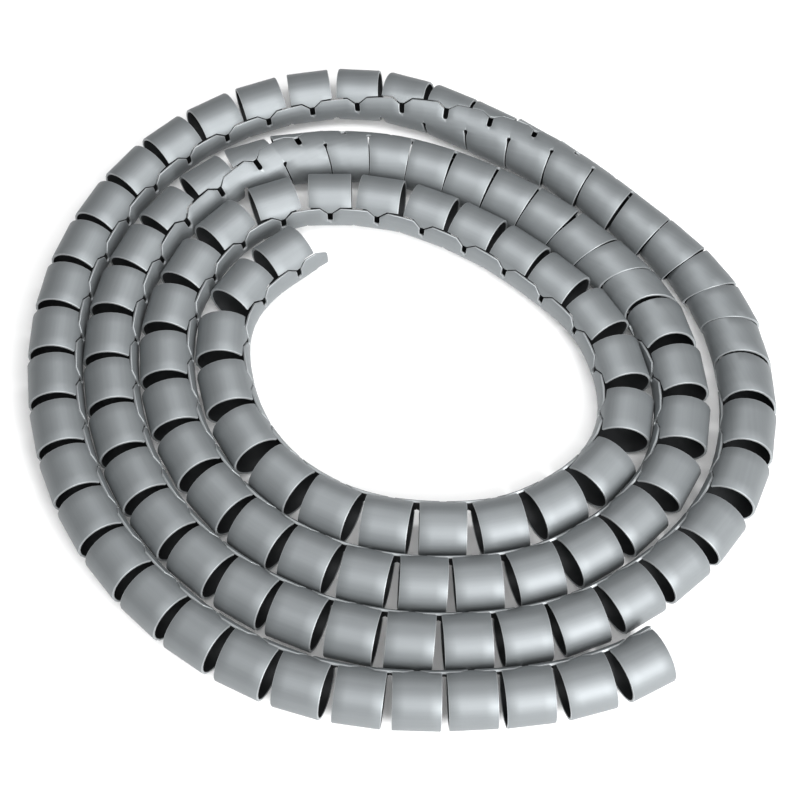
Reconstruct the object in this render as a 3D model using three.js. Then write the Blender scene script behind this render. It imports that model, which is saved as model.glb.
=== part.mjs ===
// A cable cover strip: a thin plastic tube that is slit into C-shaped bands on one side of a narrow spine
// and into short tabs on the other side, with a zigzag closing seam. It lies wound up in a flat, loose coil.
// Units are millimetres, +Z is up, and the origin is on the floor below the middle of the coil's box.
import * as THREE from 'three';

// Section of the tube
const OUTER_DIAMETER = 20;
const WALL = 1;

// Pattern along the tube, measured along the spine
const BAND_COUNT = 111;
const PITCH = 18;
const BAND_WIDTH = 16.5;
const SPINE_WIDTH = 2.6;
const SLOT_WIDTH = 2.1;
const SLOT_LENGTH = 4.1;
const CHAMFER_RUN = 2.9;
const CHAMFER_RISE = 2.3;
const SEAM_KERF = 0.45;
const POINT_WIDTH = 1.5;
const BAND_CLEARANCE = 0.35;
const FIRST_TAB_LENGTH = 8.4;
const LAST_TAB_LENGTH = 12;

// Route of the coil: the radius of the tube's centre line, every 30 degrees, from the outer end inwards
const START_ANGLE = -51;
const KNOT_STEP = 30;
const TURN_RADII = [
  [140.5, 128, 125, 124, 126, 131, 134, 128, 111.5, 109, 123, 127.5],
  [118.5, 107.5, 103, 103.5, 105.5, 110, 109, 96.5, 86.5, 87.5, 98, 104.5],
  [97, 86.5, 82.5, 82.5, 85, 89, 88, 75, 66, 66.5, 77, 84],
  [75.5, 65.5, 62, 62, 64, 68, 65, 66.5],
];
// Where the spine lies round the tube, in degrees from the top towards the middle of the coil, against the
// degrees travelled from the outer end. Twice the tube rolls once round, and then the spine is back.
const SPINE_ROLL = [
  [0, 94],
  [24, 94],
  [60, 92],
  [110, 101],
  [190, 101],
  [210, 92],
  [222, 72],
  [232, 46],
  [245, 8],
  [258, -28],
  [270, -55],
  [285, -95],
  [303, -180],
  [319, -240],
  [336, -262],
  [505, -262],
  [526, -278],
  [537, -286],
  [546, -305],
  [557, -350],
  [564, -373],
  [573, -398],
  [590, -414],
  [608, -432],
  [624, -460],
  [637, -500],
  [648, -540],
  [661, -597],
  [676, -620],
  [1290, -620],
];

// The round section is an octagon that is the tube's diameter across its flats, with a flat on the floor
const SECTION_FLATS = 8;
const ROUTE_STEP = 0.25;
const CORNER_MARGIN = 0.8;

const RADIUS = OUTER_DIAMETER / 2;
const BORE_RADIUS = RADIUS - WALL;
const FULL_TURN = 2 * Math.PI;
const flatAngle = FULL_TURN / SECTION_FLATS;
const UP = new THREE.Vector3(0, 0, 1);
const arcAngle = (length) => length / RADIUS;

// Angles round the tube, measured from the middle of the spine
const spineEdge = arcAngle(SPINE_WIDTH / 2);
const slotTop = spineEdge + arcAngle(SLOT_LENGTH);
const tabTop = slotTop + arcAngle(CHAMFER_RISE);
const bandShoulder = FULL_TURN - tabTop - arcAngle(SEAM_KERF);
const bandPoint = FULL_TURN - slotTop - arcAngle(SEAM_KERF);
const cornerMargin = arcAngle(CORNER_MARGIN);
const pointHalf = CHAMFER_RUN + SLOT_WIDTH / 2 - SEAM_KERF;

// Catmull-Rom value between the middle two of four equally spaced values
function blendFour(before, from, to, after, t) {
  const cubic = 3 * (from - to) + after - before;
  const square = 2 * before - 5 * from + 4 * to - after;
  return from + 0.5 * t * (to - before + t * (square + t * cubic));
}

const RADII = TURN_RADII.flat();

function routeRadius(travel) {
  const last = RADII.length - 1;
  const index = Math.min(Math.max(Math.floor(travel / KNOT_STEP), 0), last - 1);
  const before = RADII[Math.max(index - 1, 0)];
  const after = RADII[Math.min(index + 2, last)];
  return blendFour(before, RADII[index], RADII[index + 1], after, travel / KNOT_STEP - index);
}

// Slope of the roll at a listed place: none where the roll stands still on a side, else the harmonic mean
function rollSlope(index) {
  if (index === 0 || index === SPINE_ROLL.length - 1) return 0;
  const rate = (k) => (SPINE_ROLL[k + 1][1] - SPINE_ROLL[k][1]) / (SPINE_ROLL[k + 1][0] - SPINE_ROLL[k][0]);
  const [left, right] = [rate(index - 1), rate(index)];
  return left * right > 0 ? (2 * left * right) / (left + right) : 0;
}

// Spine angle round the tube in radians: a cubic between the listed places
function spineAngle(travel) {
  let index = 0;
  while (index < SPINE_ROLL.length - 2 && travel > SPINE_ROLL[index + 1][0]) index += 1;
  const [from, fromRoll] = SPINE_ROLL[index];
  const [to, toRoll] = SPINE_ROLL[index + 1];
  const span = to - from;
  const t = Math.min(Math.max((travel - from) / span, 0), 1);
  const rise = t * t * (3 - 2 * t);
  const bend = t * (1 - t) * ((1 - t) * rollSlope(index) - t * rollSlope(index + 1)) * span;
  return THREE.MathUtils.degToRad(fromRoll + (toRoll - fromRoll) * rise + bend);
}

function centreAt(travel) {
  const angle = THREE.MathUtils.degToRad(START_ANGLE - travel);
  const radius = routeRadius(travel);
  return new THREE.Vector3(radius * Math.cos(angle), radius * Math.sin(angle), RADIUS);
}

// The plain tube after a travel in degrees: centre, direction, the side towards the coil's middle, and the
// spine's angle from the top towards that side
function tubeAt(travel) {
  const along = centreAt(travel + ROUTE_STEP).sub(centreAt(travel - ROUTE_STEP)).normalize();
  const inward = new THREE.Vector3(along.y, -along.x, 0);
  return { centre: centreAt(travel), along, inward, spine: spineAngle(travel) };
}

// Direction from the tube's centre line at an angle from the top
function sideOf(tube, angle) {
  return UP.clone().multiplyScalar(Math.cos(angle)).addScaledVector(tube.inward, Math.sin(angle));
}

// Point of the spine on the round skin
function spineAt(travel) {
  const tube = tubeAt(travel);
  return tube.centre.clone().addScaledVector(sideOf(tube, tube.spine), RADIUS);
}

// The tube with the spine's heading. Where the tube rolls, the spine runs askew: the lean is the tangent of
// its angle to the tube, and the twist is the roll for each millimetre along the tube.
function frameAt(travel) {
  const tube = tubeAt(travel);
  const heading = spineAt(travel + ROUTE_STEP).sub(spineAt(travel - ROUTE_STEP)).normalize();
  const lean = heading.dot(sideOf(tube, tube.spine + FULL_TURN / 4)) / heading.dot(tube.along);
  return { ...tube, heading, lean, twist: lean / RADIUS };
}

// Distance of the octagon's edge from the tube's centre line, at an angle from the top
function sectionRadius(angle, toFlat) {
  const fromFlat = angle - flatAngle * Math.round(angle / flatAngle);
  return toFlat / Math.cos(fromFlat);
}

// Point on the tube's skin at an angle from the top, shifted along the tube. All cuts are square to the
// spine, so they lean where it runs askew.
function skinPoint(frame, angle, toFlat, shift = 0) {
  const radius = sectionRadius(angle, toFlat);
  const fromSpine = angle - frame.spine - frame.twist * shift;
  return frame.centre.clone()
    .addScaledVector(sideOf(frame, angle), radius)
    .addScaledVector(frame.along, shift - frame.lean * RADIUS * Math.sin(fromSpine));
}

// Distances along the spine against the travel, by which a place along the spine is looked up
const spineLengths = [0];
const lastTravel = (RADII.length - 1) * KNOT_STEP;
for (let travel = 0, spine = spineAt(0); travel < lastTravel; travel += ROUTE_STEP) {
  const next = spineAt(travel + ROUTE_STEP);
  spineLengths.push(spineLengths.at(-1) + next.distanceTo(spine));
  spine = next;
}

function frameAlong(length) {
  let low = 0;
  let high = spineLengths.length - 1;
  while (high - low > 1) {
    const middle = (low + high) >> 1;
    if (spineLengths[middle] > length) high = middle;
    else low = middle;
  }
  const share = (length - spineLengths[low]) / (spineLengths[low + 1] - spineLengths[low]);
  return frameAt((low + share) * ROUTE_STEP);
}

// The sheet that the tube is cut from: corners with an outer and an inner point, and triangles between them
const corners = [];
const sheet = [];

function corner(frame, angle, shiftOf = () => 0) {
  const pair = [RADIUS, BORE_RADIUS].map((toFlat) => skinPoint(frame, angle, toFlat, shiftOf(toFlat)));
  return corners.push(pair) - 1;
}

// Fills the strip between two rows of corners that run the same way, the second row further from the spine
function fillBetween(nearRow, farRow) {
  let [near, far] = [0, 0];
  while (near < nearRow.length - 1 || far < farRow.length - 1) {
    const nearShare = (near + 1) / nearRow.length;
    const farShare = (far + 1) / farRow.length;
    const stepNear = far === farRow.length - 1 || (near < nearRow.length - 1 && nearShare <= farShare);
    if (stepNear) {
      sheet.push([nearRow[near], farRow[far], nearRow[near + 1]]);
      near += 1;
    } else {
      sheet.push([nearRow[near], farRow[far], farRow[far + 1]]);
      far += 1;
    }
  }
}

const bandMiddle = (index) => FIRST_TAB_LENGTH + index * PITCH;

const bandFrames = [];
for (let index = 0; index < BAND_COUNT; index += 1) {
  bandFrames.push(frameAlong(bandMiddle(index)));
}

// Shift of a band's edge from its middle, cut short where it would touch the next band. The limit is the
// plane half way between the two, square to the mean of their headings.
function edgeShift(index, side, angle, toFlat, wanted) {
  const frame = bandFrames[index];
  const next = bandFrames[index + side];
  if (!next) return side * wanted;
  const facing = frame.heading.clone().add(next.heading).multiplyScalar(side).normalize();
  const halfway = frame.centre.clone().add(next.centre).multiplyScalar(0.5);
  const past = skinPoint(frame, angle, toFlat, side * wanted).sub(halfway).dot(facing) + BAND_CLEARANCE / 2;
  return side * (wanted - Math.max(past, 0) / (frame.along.dot(facing) * side));
}

// One row of corners across a band, at the given distances from its middle and the angle for each
function bandRow(index, distances, angleOf) {
  return distances.map((distance) => {
    const angle = angleOf(distance);
    const side = Math.sign(distance) || 1;
    const shiftOf = (toFlat) => edgeShift(index, side, angle, toFlat, Math.abs(distance));
    return corner(bandFrames[index], angle, shiftOf);
  });
}

function spineCorner(length, fromSpine) {
  const frame = frameAlong(length);
  return corner(frame, frame.spine + fromSpine);
}

// The octagon's corners that a whole band passes between its root and its shoulders, as angles from the top
function octagonCorners(frame) {
  const margin = cornerMargin + (Math.abs(frame.twist) * BAND_WIDTH) / 2;
  const first = Math.ceil((frame.spine + spineEdge + margin) / flatAngle - 0.5) + 0.5;
  const angles = [];
  for (let angle = first * flatAngle; angle < frame.spine + bandShoulder - margin; angle += flatAngle) {
    angles.push(angle);
  }
  return angles;
}

const bandSide = [];
const tabSide = [];

function addBand(index) {
  const half = BAND_WIDTH / 2;
  const root = [-half, half].map((shift) => spineCorner(bandMiddle(index) + shift, spineEdge));
  bandSide.push(...root);
  let row = root;
  const frame = bandFrames[index];
  const alongSpine = (fromSpine) => (distance) => frame.spine + fromSpine + frame.twist * distance;
  for (const angle of octagonCorners(frame)) {
    const next = bandRow(index, [-half, half], () => angle);
    fillBetween(row, next);
    row = next;
  }
  const shoulders = bandRow(index, [-half, -pointHalf, pointHalf, half], alongSpine(bandShoulder));
  fillBetween(row, shoulders);
  const tip = bandRow(index, [-POINT_WIDTH / 2, POINT_WIDTH / 2], alongSpine(bandPoint));
  fillBetween(shoulders.slice(1, 3), tip);
}

// A tab between two places along the spine; an end that is cut square has no chamfer
function addTab(start, end, startChamfer, endChamfer) {
  const base = [start, end].map((length) => spineCorner(length, -spineEdge));
  const knee = [start, end].map((length) => spineCorner(length, -slotTop));
  const top = [start + startChamfer, end - endChamfer].map((length) => spineCorner(length, -tabTop));
  tabSide.push(...base);
  fillBetween(knee, base);
  fillBetween(top, knee);
}

for (let index = 0; index < BAND_COUNT; index += 1) {
  addBand(index);
}
const slotHalf = SLOT_WIDTH / 2;
addTab(0, bandMiddle(0) - slotHalf, 0, CHAMFER_RUN);
for (let index = 0; index < BAND_COUNT - 1; index += 1) {
  addTab(bandMiddle(index) + slotHalf, bandMiddle(index + 1) - slotHalf, CHAMFER_RUN, CHAMFER_RUN);
}
const lastSlot = bandMiddle(BAND_COUNT - 1) + slotHalf;
addTab(lastSlot, lastSlot + LAST_TAB_LENGTH, CHAMFER_RUN, CHAMFER_RUN);
fillBetween(tabSide, bandSide);

// Thickens the sheet: its outer faces, its inner faces turned round, and a wall along every free edge
function thicken() {
  const free = new Map();
  for (const triangle of sheet) {
    triangle.forEach((from, place) => {
      const to = triangle[(place + 1) % triangle.length];
      if (!free.delete(`${to},${from}`)) free.set(`${from},${to}`, [from, to]);
    });
  }
  const inner = (index) => index + corners.length;
  const faces = sheet.map(([a, b, c]) => [a, b, c]);
  faces.push(...sheet.map(([a, b, c]) => [inner(c), inner(b), inner(a)]));
  for (const [from, to] of free.values()) {
    faces.push([to, from, inner(from)], [to, inner(from), inner(to)]);
  }
  const geometry = new THREE.BufferGeometry();
  const points = [...corners.map((pair) => pair[0]), ...corners.map((pair) => pair[1])];
  geometry.setFromPoints(points);
  geometry.setIndex(faces.flat());
  geometry.computeBoundingBox();
  const box = geometry.boundingBox;
  geometry.translate(-(box.min.x + box.max.x) / 2, -(box.min.y + box.max.y) / 2, -box.min.z);
  geometry.computeVertexNormals();
  return geometry;
}

const plastic = new THREE.MeshStandardMaterial({ color: 0x8f9498, roughness: 0.42, metalness: 0.1 });
const wrap = new THREE.Mesh(thicken(), plastic);
wrap.name = 'cable_wrap';

const group = new THREE.Group();
group.name = 'spiral_cable_wrap';
group.add(wrap);

export default group;
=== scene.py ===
"""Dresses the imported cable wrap: one slit plastic strip, closed into a tube and laid in a flat, loose coil.

The strip is worked out as a sheet on two coordinates, the distance along the spine and the angle round the
tube, and is then given its wall. All lengths are metres unless a comment says otherwise.
"""

import math

import bpy
import numpy as np
from bpy.props import FloatProperty, FloatVectorProperty, IntProperty, PointerProperty
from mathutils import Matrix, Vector


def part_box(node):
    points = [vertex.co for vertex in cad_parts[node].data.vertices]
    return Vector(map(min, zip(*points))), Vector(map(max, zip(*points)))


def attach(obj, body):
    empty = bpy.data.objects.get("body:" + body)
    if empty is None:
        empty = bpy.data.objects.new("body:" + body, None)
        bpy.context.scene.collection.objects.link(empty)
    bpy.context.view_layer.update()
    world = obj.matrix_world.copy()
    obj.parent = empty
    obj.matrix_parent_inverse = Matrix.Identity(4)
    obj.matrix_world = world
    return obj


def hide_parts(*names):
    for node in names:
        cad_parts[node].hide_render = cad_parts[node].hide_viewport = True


bl_info = {
    "name": "Cable wrap coil",
    "version": (1, 0, 0),
    "blender": (4, 5, 0),
    "location": "3D View > Sidebar > Cable Wrap",
    "description": "Makes a coil of slit cable wrap, its finish, and a studio stage for it",
    "category": "Add Mesh",
}

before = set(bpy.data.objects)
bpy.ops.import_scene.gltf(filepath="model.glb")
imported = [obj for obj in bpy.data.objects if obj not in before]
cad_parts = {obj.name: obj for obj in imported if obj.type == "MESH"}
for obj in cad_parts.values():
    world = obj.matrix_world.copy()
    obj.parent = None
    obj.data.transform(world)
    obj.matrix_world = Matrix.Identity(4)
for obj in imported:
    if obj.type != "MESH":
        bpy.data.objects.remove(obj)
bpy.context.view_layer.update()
NODE = "cable_wrap"
SLOT = "grey_plastic"
MM = 0.001

# Route of the tube's centre line: its radius in millimetres every 30 degrees, from the outer end inwards
START_ANGLE = -51.0
KNOT_STEP = 30.0
TURN_RADII = [
    [140.5, 128, 125, 124, 126, 131, 134, 128, 111.5, 109, 123, 127.5],
    [118.5, 107.5, 103, 103.5, 105.5, 110, 109, 96.5, 86.5, 87.5, 98, 104.5],
    [97, 86.5, 82.5, 82.5, 85, 89, 88, 75, 66, 66.5, 77, 84],
    [75.5, 65.5, 62, 62, 64, 68, 65, 66.5],
]
# The spine's place round the tube, in degrees from the top towards the coil's middle, against the degrees
# travelled from the outer end. Twice the tube rolls once round.
SPINE_ROLL = [
    (0, 94),
    (24, 94),
    (60, 92),
    (110, 101),
    (190, 101),
    (210, 92),
    (222, 72),
    (232, 46),
    (245, 8),
    (258, -28),
    (270, -55),
    (285, -95),
    (303, -180),
    (319, -240),
    (336, -262),
    (505, -262),
    (526, -278),
    (537, -286),
    (546, -305),
    (557, -350),
    (564, -373),
    (573, -398),
    (590, -414),
    (608, -432),
    (624, -460),
    (637, -500),
    (648, -540),
    (661, -597),
    (676, -620),
    (1290, -620),
]
# Share of the bands' stagger, against the degrees travelled: where the coil bends round its right-hand side,
# each band stands out at its start, like a stair
STAGGER = [
    (0, 0),
    (238, 0),
    (258, 1),
    (285, 1),
    (306, 0),
    (598, 0),
    (622, 0.4),
    (650, 0.4),
    (682, 0),
    (1290, 0),
]
# Degrees between the points of the route's lookup table
ROUTE_STEP = 0.25
# Single bands tilt by normal draws from this seed, cut off at this many standard deviations
LOOSE_SEED = 7
LOOSE_LIMIT = 1.8
# Points of the centre line that is worked out for the cord
CORD_POINTS = 240
# Faces that meet at more degrees than this keep a sharp edge
SHARP_DEGREES = 32

# Plastic: metal share, gloss, and the range of its roughness
METAL_SHARE = 0.52
SPECULAR = 0.5
ROUGHNESS = (0.5, 0.58)
# Streaks, scaled along and across the strip, and the clouds that are added to them
STREAK_SCALE = (9.0, 900.0, 1.0)
CLOUD_SCALE = 42.0
CLOUD_SHARE = 0.35
# Values of the streaks and clouds at which the body's and the streaks' colours are pure
TONE_ENDS = (0.45, 0.95)
RELIEF_STRENGTH = 0.06
RELIEF_DEPTH = 0.0002
# Colour sockets of the Mix node, by number, because their names repeat
MIX_FIRST, MIX_SECOND, MIX_RESULT = 6, 7, 2

# Stage: the floor's half width, gloss and own glow, the room's light, and the camera's sensor and aim
FLOOR_REACH = 3.0
FLOOR_ROUGHNESS = 0.8
FLOOR_GLOW = 0.08
ROOM_LIGHT = 0.24
SENSOR_WIDTH_MM = 36.0
AIM_HEIGHT = 0.01
WHITE = (1.0, 1.0, 1.0, 1.0)
# Soft boxes: place, aim, and the lengths of two sides
TOP_BOX = ((0.2, -0.6, 1.35), (0.0, 0.0, 0.0), (1.5, 1.2))
BACK_BOX = ((0.0, 0.06, 0.22), (0.0, 0.12, 0.0), (0.22, 0.06))
SIDE_BOX = ((0.46, -0.68, 0.48), (0.0, 0.0, 0.0), (0.45, 0.45))


class WrapSection(bpy.types.PropertyGroup):
    """Sizes of the tube and of the pattern that is cut into it"""

    outer_diameter: FloatProperty(
        name="Outer diameter", description="Outside of the closed tube", default=0.02, unit="LENGTH"
    )
    wall: FloatProperty(name="Wall", description="Thickness of the plastic", default=0.001, unit="LENGTH")
    band_count: IntProperty(name="Bands", description="Number of C-shaped bands", default=111, min=2)
    pitch: FloatProperty(
        name="Pitch", description="Distance between bands along the spine", default=0.018, unit="LENGTH"
    )
    band_width: FloatProperty(
        name="Band width", description="Width of one band along the tube", default=0.0165, unit="LENGTH"
    )
    spine_width: FloatProperty(
        name="Spine width", description="Width of the uncut spine", default=0.0026, unit="LENGTH"
    )
    slot_width: FloatProperty(
        name="Slot width", description="Width of the slots between tabs", default=0.0021, unit="LENGTH"
    )
    slot_length: FloatProperty(
        name="Slot length", description="Straight side of a tab", default=0.0041, unit="LENGTH"
    )
    chamfer_rise: FloatProperty(
        name="Chamfer rise", description="Height of a tab's slanted corner", default=0.0023, unit="LENGTH"
    )
    chamfer_end: FloatProperty(
        name="Chamfer end",
        description="Distance from a slot's middle to the flat top of the tab",
        default=0.00395,
        unit="LENGTH",
    )
    point_width: FloatProperty(
        name="Tip width", description="Blunt width of a band's pointed tip", default=0.0015, unit="LENGTH"
    )
    seam_kerf: FloatProperty(
        name="Seam gap", description="Gap of the zigzag closing seam", default=0.00045, unit="LENGTH"
    )
    edge_round: FloatProperty(
        name="Edge softening", description="Softening of the cut edges", default=0.00016, unit="LENGTH"
    )
    hole_radius: FloatProperty(
        name="Relief hole radius",
        description="Radius of the round end of each slit and slot",
        default=0.00092,
        unit="LENGTH",
    )
    first_tab: FloatProperty(
        name="First tab", description="Spine length before the first slot", default=0.0084, unit="LENGTH"
    )
    last_tab: FloatProperty(
        name="Last tab", description="Length of the tab past the last slot", default=0.0120, unit="LENGTH"
    )
    tab_flare: FloatProperty(
        name="Tab flare",
        description="How far the tabs stand out at their tops",
        default=0.0002,
        unit="LENGTH",
    )
    unevenness: FloatProperty(
        name="Unevenness", description="How far single bands tilt, in degrees", default=1.4, min=0.0
    )
    stagger: FloatProperty(
        name="Stagger",
        description="How far a band's start stands out in the staggered stretches",
        default=0.0026,
        unit="LENGTH",
    )


class WrapFinish(bpy.types.PropertyGroup):
    """Colours of the plastic, with a painted highlight on the cut edges and painted shade in the tube's bore
    """

    body_colour: FloatVectorProperty(
        name="Body", description="Silver-grey plastic", subtype="COLOR", default=(0.182, 0.196, 0.204), size=3
    )
    streak_colour: FloatVectorProperty(
        name="Streaks", description="Drawn streaks", subtype="COLOR", default=(0.200, 0.215, 0.222), size=3
    )
    # Painted highlight: a paler colour on the cut edges stands in for the light that they catch
    edge_highlight_colour: FloatVectorProperty(
        name="Cut edges", description="Paler cut edges", subtype="COLOR", default=(0.36, 0.38, 0.39), size=3
    )
    # Painted shade: the inside of the tube is darkened in its colour, though it is the same plastic
    bore_shade_colour: FloatVectorProperty(
        name="Bore",
        description="Shaded inside of the tube",
        subtype="COLOR",
        default=(0.03, 0.032, 0.034),
        size=3,
    )
    floor_colour: FloatVectorProperty(
        name="Floor", description="Pale floor", subtype="COLOR", default=(0.86, 0.86, 0.86), size=3
    )


class StageSettings(bpy.types.PropertyGroup):
    """Camera and studio light"""

    elevation: FloatProperty(
        name="Elevation", description="Camera height angle in degrees", default=62.0
    )
    distance: FloatProperty(
        name="Distance", description="Camera to the coil's middle", default=0.612, unit="LENGTH"
    )
    lens: FloatProperty(name="Lens", description="Focal length in millimetres", default=75.5)
    aim_x: FloatProperty(name="Aim X", description="Sideways place of the aim", default=0.0003, unit="LENGTH")
    aim_y: FloatProperty(name="Aim Y", description="Depth of the aim", default=-0.0131, unit="LENGTH")
    key_power: FloatProperty(name="Key light", description="Power in watts", default=21.0, unit="POWER")
    back_power: FloatProperty(name="Back light", description="Power in watts", default=0.3, unit="POWER")
    fill_power: FloatProperty(name="Fill light", description="Power in watts", default=12.0, unit="POWER")


def blend_four(values, place):
    """Catmull-Rom curve through equally spaced values, read at places counted in steps.

    Between b and c, the middle two of four values a, b, c, d, it is b plus half the sum of t times (c - a),
    t squared times (2a - 5b + 4c - d) and t cubed times (3(b - c) + d - a).
    """
    values = np.asarray(values, dtype=float)
    last = len(values) - 1
    index = np.clip(np.floor(place).astype(int), 0, last - 1)
    t = place - index
    before = values[np.clip(index - 1, 0, last)]
    start, end = values[index], values[index + 1]
    after = values[np.clip(index + 2, 0, last)]
    cubic = 3 * (start - end) + after - before
    square = 2 * before - 5 * start + 4 * end - after
    return start + 0.5 * t * (end - before + t * (square + t * cubic))


def eased_list(pairs, place):
    """Cubic through unevenly spaced pairs that never overshoots: slopes are harmonic means, or none."""
    knots, values = np.array(pairs, dtype=float).T
    rates = np.diff(values) / np.diff(knots)
    product = rates[:-1] * rates[1:]
    total = np.where(product > 0, rates[:-1] + rates[1:], 1.0)
    slopes = np.zeros(len(knots))
    slopes[1:-1] = np.where(product > 0, 2 * product / total, 0.0)
    index = np.clip(np.searchsorted(knots, place, side="right") - 1, 0, len(knots) - 2)
    span = knots[index + 1] - knots[index]
    t = np.clip((place - knots[index]) / span, 0.0, 1.0)
    rise = t * t * (3 - 2 * t)
    bend = t * (1 - t) * ((1 - t) * slopes[index] - t * slopes[index + 1]) * span
    return values[index] + (values[index + 1] - values[index]) * rise + bend


def smooth_step(value):
    """Eases from 0 to 1: 3 times the square less 2 times the cube, of the value kept between 0 and 1."""
    value = np.clip(value, 0.0, 1.0)
    return value * value * (3 - 2 * value)


def dot(one, other):
    """Scalar product of two tables of vectors."""
    return np.sum(one * other, axis=-1)


def unit(vectors):
    """Vectors of length one."""
    return vectors / np.linalg.norm(vectors, axis=-1, keepdims=True)


def side_of(inward, angle):
    """Unit direction from the centre line: cosine of the angle upwards plus sine of it inwards."""
    angle = np.asarray(angle)[..., None]
    return np.cos(angle) * np.array([0.0, 0.0, 1.0]) + np.sin(angle) * inward


class Frames:
    """The tube at a table of places: its centre, direction, inner side, spine angle, spine heading and lean.

    The lean is the tangent of the angle between the spine and the tube, which the cuts follow. The spine
    runs askew where the tube rolls.
    """

    def __init__(self, centre, along, inward, spine, heading, lean):
        self.centre, self.along, self.inward = centre, along, inward
        self.spine, self.heading, self.lean = spine, heading, lean

    def take(self, index):
        """The frames of some places, by number."""
        parts = (self.centre, self.along, self.inward, self.spine, self.heading, self.lean)
        return Frames(*(part[index] for part in parts))

    def skin(self, angle, radius, shift, girth_radius):
        """Points on the tube: centre plus radius times the side, moved along by shift less lean times sine.

        The angle is counted from the spine, and turns with the roll along a shifted band.
        """
        turned = self.spine + angle + self.lean / girth_radius * shift
        slide = shift - self.lean * girth_radius * np.sin(angle)
        side = side_of(self.inward, turned)
        return self.centre + radius[..., None] * side + slide[..., None] * self.along


class Route:
    """The tube's centre line and roll, looked up by the distance along the spine.

    The centre is at polar radius blend_four(TURN_RADII) and at an angle that falls with the travel. The
    spine runs on the tube's skin, and its running length is the sum of the steps between its points.
    """

    def __init__(self, radius):
        self.radius = radius
        self.radii = np.concatenate([np.array(turn, dtype=float) for turn in TURN_RADII]) * MM
        self.travel = np.arange(0.0, (len(self.radii) - 1) * KNOT_STEP, ROUTE_STEP)
        steps = np.linalg.norm(np.diff(self.spine_line(self.travel), axis=0), axis=1)
        self.lengths = np.concatenate([[0.0], np.cumsum(steps)])

    def centre(self, travel):
        """Centre after a travel: the reach times the angle's cosine and sine, a radius above the floor."""
        angle = np.radians(START_ANGLE - travel)
        reach = blend_four(self.radii, travel / KNOT_STEP)
        return np.stack([reach * np.cos(angle), reach * np.sin(angle), np.full_like(reach, self.radius)], -1)

    def tube(self, travel):
        """Centre, direction, side towards the coil's middle, and spine angle after a travel in degrees."""
        along = unit(self.centre(travel + ROUTE_STEP) - self.centre(travel - ROUTE_STEP))
        inward = np.stack([along[..., 1], -along[..., 0], np.zeros_like(along[..., 0])], -1)
        return self.centre(travel), along, inward, np.radians(eased_list(SPINE_ROLL, travel))

    def spine_line(self, travel):
        """Points of the spine: the centre plus the radius times the side at the spine's angle."""
        centre, _, inward, spine = self.tube(travel)
        return centre + self.radius * side_of(inward, spine)

    def frames(self, length):
        """Frames after lengths along the spine."""
        travel = np.interp(length, self.lengths, self.travel)
        centre, along, inward, spine = self.tube(travel)
        heading = unit(self.spine_line(travel + ROUTE_STEP) - self.spine_line(travel - ROUTE_STEP))
        lean = dot(heading, side_of(inward, spine + math.pi / 2)) / dot(heading, along)
        return Frames(centre, along, inward, spine, heading, lean)


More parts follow.
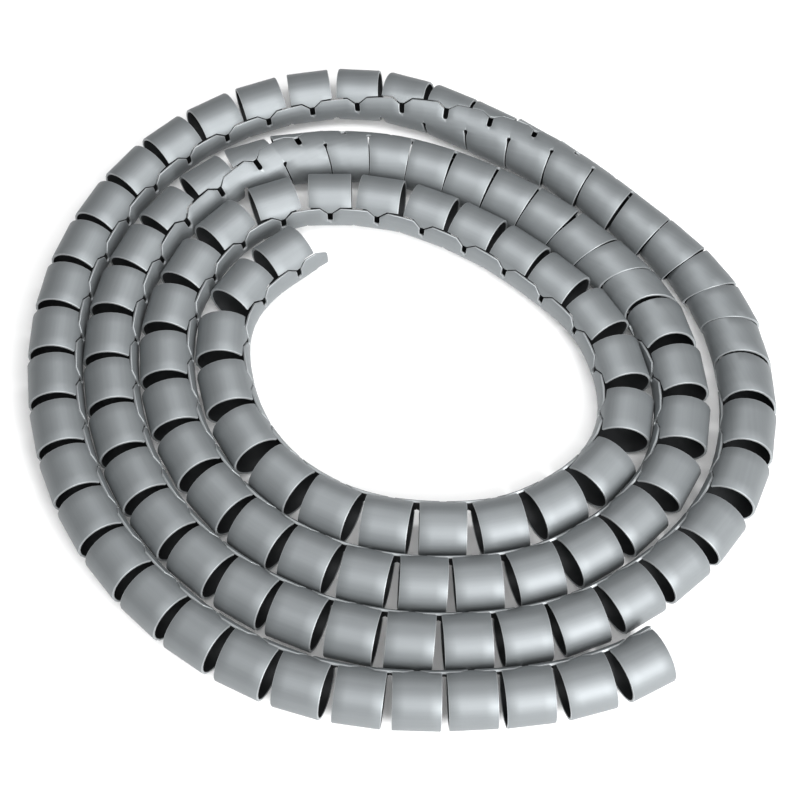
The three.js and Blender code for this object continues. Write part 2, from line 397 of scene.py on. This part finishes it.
class Strip:
    """The wrap's sheet on a grid of spine length and arc length from the spine, and its points in space."""

    # Quads across one band, and rows of points from a band's root to its tip
    COLUMNS_PER_BAND = 8
    BAND_ROWS = 31
    # Rows near the spine, as distances from its edge, of a band and of a tab
    ROOT_ROWS = (0.00025, 0.0007, 0.0012, 0.0018, 0.0028)
    TAB_ROWS = (0.00025, 0.0006, 0.00105, 0.0016, 0.0028)
    # Rows near the seam, as shares of the way to it, of a band's tip and of a tab
    TIP_STEPS = (0.25, 0.5, 0.75, 0.95, 1.0)
    TAB_STEPS = (0.35, 0.7, 0.93, 1.0)
    # How far short of a band's shoulders its tip rows begin, and the depth within which it turns stiff
    TIP_LEAD = 0.0016
    STIFF_DEPTH = 0.003
    # Width of the rim along a cut, and the least gap between stiff bands
    RIM = 0.0003
    CLEARANCE = 0.00035

    def __init__(self, section):
        self.s = section
        self.radius = section.outer_diameter / 2
        self.route = Route(self.radius)
        self.middle = section.first_tab + section.pitch * np.arange(section.band_count)
        self.bands = self.route.frames(self.middle)
        self.middle_travel = np.interp(self.middle, self.route.lengths, self.route.travel)
        self.half_slit = (section.pitch - section.band_width) / 2
        self.spine_edge = section.spine_width / 2
        self.slot_top = self.spine_edge + section.slot_length
        self.tab_top = self.slot_top + section.chamfer_rise
        self.girth = 2 * math.pi * self.radius
        self.shoulder = self.girth - self.tab_top - section.seam_kerf
        self.point = self.girth - self.slot_top - section.seam_kerf
        half_point = section.point_width / 2
        reach = section.chamfer_end
        # Columns of one band, counted from its middle; the first is the middle of the slit before it
        self.columns = np.array(
            [-section.pitch / 2, self.RIM - section.pitch / 2, -reach, -half_point, 0.0, half_point, reach]
            + [section.pitch / 2 - self.RIM]
        )
        self.places = []
        self.insets = []
        self.rigid = []
        self.count = 0
        self.quads = []

    def cut(self, depth, half_width):
        """Half width of a cut at a depth from its round end: a circle's half chord, then the straight cut."""
        hole = max(self.s.hole_radius, half_width)
        chord = np.sqrt(np.clip(hole**2 - (hole - depth) ** 2, 0.0, None))
        straight = np.maximum(half_width, np.where(depth < 2 * hole, chord, 0.0))
        return np.where(depth < hole, chord, straight)

    def add_points(self, along, around, inset, band, stiffness):
        """Files points: length along, arc length from the spine, edge softening, band number, stiffness."""
        parts = np.broadcast_arrays(along, around, inset, band, stiffness)
        flat = [part.reshape(-1) for part in parts]
        self.places.append(np.stack(flat[:2], -1))
        self.insets.append(flat[2])
        self.rigid.append(np.stack(flat[3:], -1))
        index = self.count + np.arange(parts[0].size).reshape(parts[0].shape)
        self.count += index.size
        return index

    def add_grid(self, index):
        """Quads of a grid of point numbers whose rows lead away from the spine's tab side."""
        corners = [index[..., :-1, :-1], index[..., 1:, :-1], index[..., 1:, 1:], index[..., :-1, 1:]]
        self.quads.append(np.stack([corner.reshape(-1) for corner in corners], -1))

    def build_spine(self):
        """The spine's own strip, with the columns of all bands and a few under the last tab."""
        s = self.s
        step = self.COLUMNS_PER_BAND
        half = s.band_width / 2
        lengths = (self.middle[:, None] + self.columns).reshape(-1)
        lengths[:2] = self.middle[0] - half + np.array([0.0, self.RIM])
        last = self.middle[-1]
        end = last + s.slot_width / 2 + s.last_tab
        lengths[-1] = last + half - self.RIM
        tail = np.array([last + half, end - s.chamfer_end, end - 3 * self.RIM, end - self.RIM, end])
        self.lengths = np.concatenate([lengths, tail])
        rows = np.array([-self.spine_edge, 0.0, self.spine_edge])
        edge = np.zeros((len(rows), len(self.lengths)))
        edge[:, [0, -1]] = 1.0
        edge[-1, 1 - len(tail) :] = 1.0
        edge[-1, step * np.arange(1, s.band_count)] = 1.0
        edge[0, step * np.arange(s.band_count) + step // 2] = 1.0
        self.spine = self.add_points(self.lengths[None, :], rows[:, None], edge, -1.0, 0.0)
        self.add_grid(self.spine)

    def build_bands(self):
        """Every band at once: rows run from the spine round the tube to the pointed tip."""
        s = self.s
        count = s.band_count
        half = s.band_width / 2
        across = np.append(self.columns, s.pitch / 2)
        tip = np.interp(np.abs(across), [s.point_width / 2, s.chamfer_end], [self.point, self.shoulder])
        turn_back = self.shoulder - self.TIP_LEAD
        near = self.spine_edge + np.array(self.ROOT_ROWS)
        body = np.linspace(near[-1], turn_back, self.BAND_ROWS - len(self.TIP_STEPS) - len(near) + 1)[1:]
        straight = np.repeat(np.concatenate([near, body])[:, None], len(across), axis=1)
        steps = np.array(self.TIP_STEPS)[:, None]
        around = np.concatenate([straight, turn_back + steps * (tip - turn_back)])
        depth = around - self.spine_edge
        shift = np.repeat(across[None, :], len(around), axis=0)
        reach = s.pitch / 2 - self.cut(depth, self.half_slit)
        shift[:, 0], shift[:, -1] = -reach[:, 0], reach[:, -1]
        shift[:, 1], shift[:, -2] = self.RIM - reach[:, 1], reach[:, -2] - self.RIM
        shift = np.repeat(shift[None], count, axis=0)
        shift[0, :, :2] = [-half, self.RIM - half]
        shift[-1, :, -2:] = [half - self.RIM, half]
        edge = np.zeros(around.shape)
        edge[:, [0, -1]] = 1.0
        edge[-1, :] = 1.0
        band = np.arange(count, dtype=float)[:, None, None]
        stiffness = smooth_step(depth / self.STIFF_DEPTH)
        along = self.middle[:, None, None] + shift
        new = self.add_points(along, around[None], edge[None], band, stiffness[None])
        first = self.COLUMNS_PER_BAND * np.arange(count)[:, None] + np.arange(self.COLUMNS_PER_BAND + 1)
        self.add_grid(np.concatenate([self.spine[-1][first][:, None, :], new], axis=1))

    def add_tabs(self, columns, chamfered_left, chamfered_right, end_cut=1.0):
        """Tabs that share a form, on the spine columns in a table: straight sides, then slanted corners.

        A chamfered side is set in from its column by half a slot, the right side by end_cut times as much.
        """
        s = self.s
        slot = s.slot_width / 2
        base = self.lengths[columns]
        along = base.copy()
        if chamfered_left:
            along[:, 0] += slot
            along[:, 1] = along[:, 0] + self.RIM
        if chamfered_right:
            along[:, -1] -= slot * end_cut
            along[:, -2] = along[:, -1] - self.RIM
        rise = np.full(base.shape, self.tab_top)
        reach = s.chamfer_end - slot
        left = self.slot_top + s.chamfer_rise * np.clip((along - along[:, :1]) / reach, 0.0, 1.0)
        right = self.slot_top + s.chamfer_rise * np.clip((along[:, -1:] - along) / reach, 0.0, 1.0)
        if chamfered_left:
            rise = np.minimum(rise, left)
        if chamfered_right:
            rise = np.minimum(rise, right)
        low = self.spine_edge + np.array(self.TAB_ROWS)[None, :, None] + 0 * base[:, None, :]
        steps = np.array(self.TAB_STEPS)[None, :, None]
        high = low[:, -1:] + steps * (rise[:, None, :] - low[:, -1:])
        around = np.concatenate([low, high], axis=1)
        width = self.cut(around - self.spine_edge, slot)
        place = np.repeat(along[:, None, :], around.shape[1], axis=1)
        if chamfered_left:
            place[:, :, 0] = base[:, None, 0] + width[:, :, 0]
            place[:, :, 1] = place[:, :, 0] + self.RIM
        if chamfered_right:
            place[:, :, -1] = base[:, None, -1] - width[:, :, -1] * end_cut
            place[:, :, -2] = place[:, :, -1] - self.RIM
        edge = np.zeros(around.shape)
        edge[:, :, [0, -1]] = 1.0
        edge[:, -1, :] = 1.0
        new = self.add_points(place, -around, edge, -1.0, 0.0)
        rows = np.concatenate([self.spine[0][columns][:, None, :], new], axis=1)
        self.add_grid(rows[:, ::-1, :])

    def build_tabs(self):
        """The half tab at the outer end, the tabs between slots, and the long tab at the inner end."""
        step = self.COLUMNS_PER_BAND
        slots = step * np.arange(self.s.band_count) + step // 2
        self.add_tabs(np.arange(step // 2 + 1)[None, :], False, True)
        self.add_tabs(slots[:-1, None] + np.arange(step + 1), True, True)
        self.add_tabs((slots[-1] + np.arange(step + 1))[None, :], True, True, end_cut=0.0)

    def placed_bands(self, number, angle, radius, shift):
        """Points of stiff bands, each a short straight tube that leans a little and stays clear of the next.

        The limit between two bands is the plane half way between their middles, square to the mean of their
        headings. Where a band's edge would pass it, the band is narrowed in proportion. In a staggered
        stretch a band's start is moved outwards, most where it is farthest from the spine, and its end stays.
        """
        noise = np.random.default_rng(LOOSE_SEED).normal(0.0, 1.0, (len(self.middle), 3))
        noise = np.clip(noise, -LOOSE_LIMIT, LOOSE_LIMIT)
        loose = math.radians(self.s.unevenness) * noise[number]
        frames = self.bands.take(number)
        tilt = self.radius * (loose[:, 0] * np.sin(angle) + loose[:, 1] * (1 - np.cos(angle)) / 2)
        half = self.s.band_width / 2
        scale = np.ones(len(number))
        for side in (1, -1):
            other = np.clip(number + side, 0, len(self.middle) - 1)
            facing = unit(side * (frames.heading + self.bands.heading[other]))
            halfway = (frames.centre + self.bands.centre[other]) / 2
            rim = frames.skin(angle, radius, side * half + tilt, self.radius)
            past = dot(rim - halfway, facing) + self.CLEARANCE / 2
            room = half - np.maximum(past, 0.0) / (side * dot(frames.along, facing))
            use = (shift * side > 0) & (other != number)
            scale = np.where(use, np.minimum(room / half, 1.0), scale)
        place = frames.skin(angle, radius, shift * scale + tilt, self.radius)
        share = eased_list(STAGGER, self.middle_travel[number])
        swing = self.s.stagger * share * (1 - np.cos(angle)) / 2
        return place + frames.inward * (swing * (shift / half - 1) / 2)[:, None]

    def points(self, inner):
        """Places all points on the outer or the inner skin.

        Points near the spine follow the swept tube. Points of a band turn into a stiff ring at the band's
        middle, so that the gaps between bands fan out. Tabs stand out a little at their tops.
        """
        along, around = np.concatenate(self.places).T
        inset = np.concatenate(self.insets) * self.s.edge_round
        band, stiffness = np.concatenate(self.rigid).T
        radius = np.full(len(along), self.radius)
        radius = radius - self.s.wall + inset if inner else radius - inset
        tab_share = (-around - self.spine_edge) / (self.tab_top - self.spine_edge)
        radius += self.s.tab_flare * smooth_step(tab_share)
        angle = around / self.radius
        place = self.route.frames(along).skin(angle, radius, np.zeros(len(along)), self.radius)
        moving = band >= 0
        number = band[moving].astype(int)
        shift = along[moving] - self.middle[number]
        ring = self.placed_bands(number, angle[moving], radius[moving], shift)
        weight = stiffness[moving, None]
        place[moving] = place[moving] * (1 - weight) + ring * weight
        return place


def closed_shell(quads, outer, inner):
    """Joins an outer and an inner skin: inner quads turned round, and a wall on every edge used once."""
    count = len(outer)
    edges = np.concatenate([quads[:, [k, (k + 1) % 4]] for k in range(4)])
    forward = edges[:, 0] * count + edges[:, 1]
    backward = edges[:, 1] * count + edges[:, 0]
    free = edges[~np.isin(forward, backward)]
    walls = np.stack([free[:, 1], free[:, 0], free[:, 0] + count, free[:, 1] + count], -1)
    faces = np.concatenate([quads, quads[:, ::-1] + count, walls])
    return np.concatenate([outer, inner]), faces


def mesh_object(name, points, faces, uv=None):
    """Makes an object at the origin from arrays of points and of quads, with a UV value for each point."""
    mesh = bpy.data.meshes.new(name)
    mesh.vertices.add(len(points))
    mesh.vertices.foreach_set("co", points.astype(np.float32).ravel())
    mesh.loops.add(faces.size)
    mesh.loops.foreach_set("vertex_index", faces.astype(np.int32).ravel())
    mesh.polygons.add(len(faces))
    mesh.polygons.foreach_set("loop_start", np.arange(0, faces.size, faces.shape[1], dtype=np.int32))
    mesh.update(calc_edges=True)
    if uv is not None:
        layer = mesh.uv_layers.new(name="strip")
        layer.data.foreach_set("uv", uv[faces.ravel()].astype(np.float32).ravel())
    mesh.validate()
    mesh.polygons.foreach_set("use_smooth", np.ones(len(mesh.polygons), dtype=bool))
    mesh.set_sharp_from_angle(angle=math.radians(SHARP_DEGREES))
    piece = bpy.data.objects.new(name, mesh)
    bpy.context.scene.collection.objects.link(piece)
    return piece


def node_maker(material):
    """Returns a helper that adds a shader node with its inputs set, and one that links two sockets."""
    tree = material.node_tree

    def add(kind, **inputs):
        node = tree.nodes.new(kind)
        for key, value in inputs.items():
            node.inputs[key.replace("_", " ")].default_value = value
        return node

    return add, tree.links.new


def plastic_material(finish):
    """Silver-grey satin plastic: fine streaks along the strip, a cloudy tone, a painted highlight on the cut
    edges, painted shade in the bore.
    """
    material = bpy.data.materials.new(SLOT)
    material.use_nodes = True
    add, link = node_maker(material)
    shader = material.node_tree.nodes["Principled BSDF"]
    shader.inputs["Metallic"].default_value = METAL_SHARE
    shader.inputs["Specular IOR Level"].default_value = SPECULAR
    strip = add("ShaderNodeUVMap")
    strip.uv_map = "strip"
    stretch = add("ShaderNodeMapping", Scale=STREAK_SCALE)
    link(strip.outputs["UV"], stretch.inputs["Vector"])
    streaks = add("ShaderNodeTexNoise", Scale=1.0, Detail=4.0, Roughness=0.6)
    link(stretch.outputs["Vector"], streaks.inputs["Vector"])
    place = add("ShaderNodeTexCoord")
    cloud = add("ShaderNodeTexNoise", Scale=CLOUD_SCALE, Detail=2.0, Roughness=0.5)
    link(place.outputs["Object"], cloud.inputs["Vector"])
    tone = add("ShaderNodeMath")
    tone.operation = "MULTIPLY_ADD"
    link(cloud.outputs["Fac"], tone.inputs[0])
    tone.inputs[1].default_value = CLOUD_SHARE
    link(streaks.outputs["Fac"], tone.inputs[2])
    ramp = add("ShaderNodeValToRGB")
    colours = (finish.body_colour, finish.streak_colour)
    for element, end, pure in zip(ramp.color_ramp.elements, TONE_ENDS, colours):
        element.position = end
        element.color = (*pure, 1.0)
    link(tone.outputs["Value"], ramp.inputs["Fac"])
    colour = ramp.outputs["Color"]
    # The painted shade of the bore and the painted highlight of the cut edges are mixed over the plastic's
    # colour
    for name, other in (("painted_bore_shade", finish.bore_shade_colour), ("painted_edge_highlight", finish.edge_highlight_colour)):
        share = add("ShaderNodeAttribute")
        share.attribute_name = name
        mix = add("ShaderNodeMix")
        mix.data_type = "RGBA"
        link(share.outputs["Fac"], mix.inputs["Factor"])
        link(colour, mix.inputs[MIX_FIRST])
        mix.inputs[MIX_SECOND].default_value = (*other, 1.0)
        colour = mix.outputs[MIX_RESULT]
    link(colour, shader.inputs["Base Color"])
    rough = add("ShaderNodeMapRange")
    link(streaks.outputs["Fac"], rough.inputs["Value"])
    rough.inputs["To Min"].default_value, rough.inputs["To Max"].default_value = ROUGHNESS
    link(rough.outputs["Result"], shader.inputs["Roughness"])
    bump = add("ShaderNodeBump", Strength=RELIEF_STRENGTH, Distance=RELIEF_DEPTH)
    link(streaks.outputs["Fac"], bump.inputs["Height"])
    link(bump.outputs["Normal"], shader.inputs["Normal"])
    return material


def floor_material(finish):
    """Matt pale floor with a weak glow of its own."""
    material = bpy.data.materials.new("pale_floor")
    material.use_nodes = True
    shader = material.node_tree.nodes["Principled BSDF"]
    shader.inputs["Base Color"].default_value = (*finish.floor_colour, 1.0)
    shader.inputs["Roughness"].default_value = FLOOR_ROUGHNESS
    shader.inputs["Emission Color"].default_value = WHITE
    shader.inputs["Emission Strength"].default_value = FLOOR_GLOW
    return material


class WRAP_OT_strip(bpy.types.Operator):
    """Make the coiled wrap from its section, its pattern and the coil's route"""

    bl_idname = "wrap.strip"
    bl_label = "Coiled wrap"

    def execute(self, context):
        scene = context.scene
        strip = Strip(scene.wrap_section)
        strip.build_spine()
        strip.build_bands()
        strip.build_tabs()
        outer, inner = strip.points(inner=False), strip.points(inner=True)
        quads = np.concatenate(strip.quads)
        points, faces = closed_shell(quads, outer, inner)
        low, high = points.min(axis=0), points.max(axis=0)
        cad_low, cad_high = (np.array(corner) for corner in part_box(NODE))
        shift = (cad_low + cad_high - low - high) / 2
        shift[2] = -low[2]
        points = points + shift
        place = np.concatenate(strip.places)
        uv = np.concatenate([place, place])
        piece = mesh_object("wrap_strip", points, faces, uv)
        # Masks: the inner skin takes the painted shade, the softened cut edges take the painted highlight
        shares = {
            "painted_edge_highlight": np.tile(np.concatenate(strip.insets), 2),
            "painted_bore_shade": np.repeat([0.0, 1.0], len(outer)),
        }
        for name, share in shares.items():
            layer = piece.data.attributes.new(name, "FLOAT", "POINT")
            layer.data.foreach_set("value", share.astype(np.float32))
        piece.data.materials.append(plastic_material(scene.wrap_finish))
        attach(piece, "root")
        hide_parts(NODE)
        declare_cord(strip, shift)
        print("wrap", len(points), "points", len(faces), "faces")
        return {"FINISHED"}


def declare_cord(strip, shift):
    """Works out the wrap's centre line from the outer to the inner end, moved by the wrap's shift."""
    s = strip.s
    end = strip.middle[-1] + s.band_width / 2
    lengths = np.linspace(strip.middle[0] - s.band_width / 2, end, CORD_POINTS)
    path = strip.route.frames(lengths).centre + shift


def area_light(name, place, aim, size, power):
    """A rectangular soft box that faces its aim, and that the camera doesn't see."""
    data = bpy.data.lights.new(name, "AREA")
    data.shape = "RECTANGLE"
    data.size, data.size_y = size
    data.energy = power
    light = bpy.data.objects.new(name, data)
    light.location = place
    light.visible_camera = False
    light.rotation_euler = (Vector(aim) - Vector(place)).to_track_quat("-Z", "Y").to_euler()
    bpy.context.scene.collection.objects.link(light)


class WRAP_OT_stage(bpy.types.Operator):
    """Make the pale floor, the soft studio light and the camera"""

    bl_idname = "wrap.stage"
    bl_label = "Studio stage"

    def execute(self, context):
        scene = context.scene
        settings = scene.wrap_stage
        corners = FLOOR_REACH * np.array([[-1, -1, 0], [1, -1, 0], [1, 1, 0], [-1, 1, 0]])
        floor = mesh_object("pale_floor", corners, np.array([[0, 1, 2, 3]]))
        floor.data.materials.append(floor_material(scene.wrap_finish))
        world = bpy.data.worlds.new("soft_room")
        world.use_nodes = True
        background = world.node_tree.nodes["Background"]
        background.inputs["Color"].default_value = WHITE
        background.inputs["Strength"].default_value = ROOM_LIGHT
        scene.world = world
        area_light("top_box", *TOP_BOX, settings.key_power)
        area_light("back_box", *BACK_BOX, settings.back_power)
        area_light("side_box", *SIDE_BOX, settings.fill_power)
        scene.view_settings.view_transform = "Standard"
        aim = np.array([settings.aim_x, settings.aim_y, AIM_HEIGHT])
        rise = math.radians(settings.elevation)
        away = settings.distance * np.array([0.0, -math.cos(rise), math.sin(rise)])
        data = bpy.data.cameras.new("camera")
        data.sensor_width = SENSOR_WIDTH_MM
        data.lens = settings.lens
        camera = bpy.data.objects.new("camera", data)
        camera.location = aim + away
        camera.rotation_euler = (math.pi / 2 - rise, 0.0, 0.0)
        scene.collection.objects.link(camera)
        scene.camera = camera
        return {"FINISHED"}


class WRAP_PT_panel(bpy.types.Panel):
    """Lists the wrap's tools in the sidebar"""

    bl_label = "Cable Wrap"
    bl_idname = "WRAP_PT_panel"
    bl_space_type = "VIEW_3D"
    bl_region_type = "UI"
    bl_category = "Cable Wrap"

    def draw(self, context):
        layout = self.layout
        for operator in (WRAP_OT_stage, WRAP_OT_strip):
            layout.operator(operator.bl_idname)
        for group in (context.scene.wrap_section, context.scene.wrap_finish, context.scene.wrap_stage):
            box = layout.box()
            for name in group.__annotations__:
                box.prop(group, name)


CLASSES = (WrapSection, WrapFinish, StageSettings, WRAP_OT_strip, WRAP_OT_stage, WRAP_PT_panel)


def register():
    """Adds the tools and their settings to Blender."""
    for cls in CLASSES:
        bpy.utils.register_class(cls)
    bpy.types.Scene.wrap_section = PointerProperty(type=WrapSection)
    bpy.types.Scene.wrap_finish = PointerProperty(type=WrapFinish)
    bpy.types.Scene.wrap_stage = PointerProperty(type=StageSettings)


def unregister():
    """Takes the settings and the tools out again."""
    del bpy.types.Scene.wrap_stage
    del bpy.types.Scene.wrap_finish
    del bpy.types.Scene.wrap_section
    for cls in reversed(CLASSES):
        bpy.utils.unregister_class(cls)


def main():
    """Makes the stage and the wrap."""
    register()
    bpy.ops.wrap.stage()
    bpy.ops.wrap.strip()


if __name__ == "__main__":
    main()
